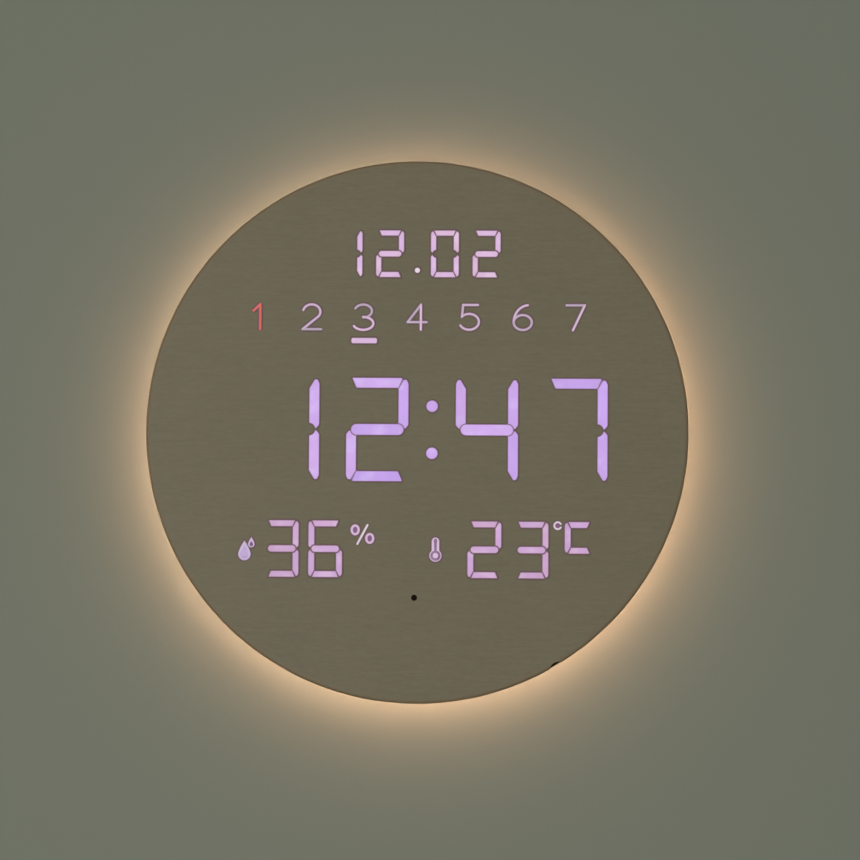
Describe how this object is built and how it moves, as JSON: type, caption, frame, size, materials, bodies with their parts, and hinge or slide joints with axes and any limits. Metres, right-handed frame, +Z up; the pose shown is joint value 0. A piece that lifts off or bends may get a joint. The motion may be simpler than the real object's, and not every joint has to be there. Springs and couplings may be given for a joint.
{
  "type": "digital wall clock",
  "caption": "Round digital wall clock: brushed disc with lit segment digits for date, weekday, time, humidity and temperature, and a warm light ring behind it.",
  "frame": {"origin": "on the disc's axis, at the wall plane (the rear cover's back face)", "axes": "+Z up, +X to the viewer's right, +Y into the wall, so the face looks along -Y"},
  "size_m": [0.38, 0.034, 0.38],
  "materials": {
    "brushed_film": "satin, fine horizontal grain",
    "black_shell": "matte, fine spark texture",
    "button_grey": "satin",
    "smoked_window": "polished",
    "lit_violet": "opal, lit from behind",
    "lit_rose": "opal, lit from behind",
    "opal_guide": "opal",
    "white_reflector": "matte",
    "circuit_board": "satin solder mask",
    "chip_black": "matte",
    "led_yellow": "clear over phosphor",
    "plug_white": "satin",
    "ribbon_grey": "satin",
    "lead_red": "satin",
    "opal_diffuser": "opal, lit from inside",
    "strip_white": "satin",
    "zinc_steel": "zinc plated",
    "black_screw": "black zinc",
    "bright_steel": "bright",
    "contact_brass": "bright",
    "capacitor_blue": "sleeve"
  },
  "bodies": {
    "case": {"face_film": "brushed_film", "front_shell": "black_shell", "sensor_window": "smoked_window", "time_lit_segments": "lit_violet", "date_lit_segments": "lit_rose", "humidity_lit_segments": "lit_rose", "temperature_lit_segments": "lit_rose", "weekday_lit_bar": "lit_rose", "dark_segments": "opal_guide", "weekday_guides": "opal_guide", "sign_guides": "opal_guide", "time_reflector": "white_reflector", "date_reflector": "white_reflector", "weekday_reflector": "white_reflector", "humidity_reflector": "white_reflector", "temperature_reflector": "white_reflector", "display_board": "circuit_board", "segment_leds": "led_yellow", "driver_chips": "chip_black", "infrared_receiver": "chip_black", "climate_sensor": "plug_white", "ribbon_plugs": "plug_white", "ribbon_cable": "ribbon_grey", "back_panel": "black_shell", "drum": "black_shell", "light_strip": "strip_white", "strip_led_chips": "led_yellow", "light_diffuser": "opal_diffuser", "light_lead": "lead_red", "lead_plugs": "plug_white", "rear_cover": "black_shell", "hanger_plate": "zinc_steel", "hanger_screws": "zinc_steel", "frame_screws": "black_screw", "housing_screws": "black_screw", "board_screws": "bright_steel", "inlet_cup": "black_shell", "power_jack": "chip_black", "jack_pin": "bright_steel", "jack_nut": "bright_steel", "power_leads": "lead_red", "control_board": "circuit_board", "microcontroller": "chip_black", "clock_crystal": "bright_steel", "regulator_chip": "chip_black", "capacitors": "capacitor_blue", "buzzer": "chip_black", "tact_switches": "chip_black", "coin_cell_holder": "chip_black", "coin_contact": "contact_brass", "coin_cell": "bright_steel"},
    "key_1": {"button_1": "button_grey", "plunger_1": "plug_white"},
    "key_2": {"button_2": "button_grey", "plunger_2": "plug_white"},
    "key_3": {"button_3": "button_grey", "plunger_3": "plug_white"},
    "key_4": {"button_4": "button_grey", "plunger_4": "plug_white"},
    "door": {"battery_door": "black_shell"}
  },
  "joints": [
    {"name": "button_1_press", "type": "slide", "parent": "case", "child": "key_1", "axis": [0, -1, 0], "range_m": [0, 0.0005], "stiffness_N_per_m": 1500},
    {"name": "button_2_press", "type": "slide", "parent": "case", "child": "key_2", "axis": [0, -1, 0], "range_m": [0, 0.0005], "stiffness_N_per_m": 1500},
    {"name": "button_3_press", "type": "slide", "parent": "case", "child": "key_3", "axis": [0, -1, 0], "range_m": [0, 0.0005], "stiffness_N_per_m": 1500},
    {"name": "button_4_press", "type": "slide", "parent": "case", "child": "key_4", "axis": [0, -1, 0], "range_m": [0, 0.0005], "stiffness_N_per_m": 1500},
    {"name": "battery_door_turn", "type": "hinge", "parent": "case", "child": "door", "pos_m": [-0.034, -0.001, -0.004], "axis": [0, 1, 0], "range_deg": [0, 45]}
  ]
}
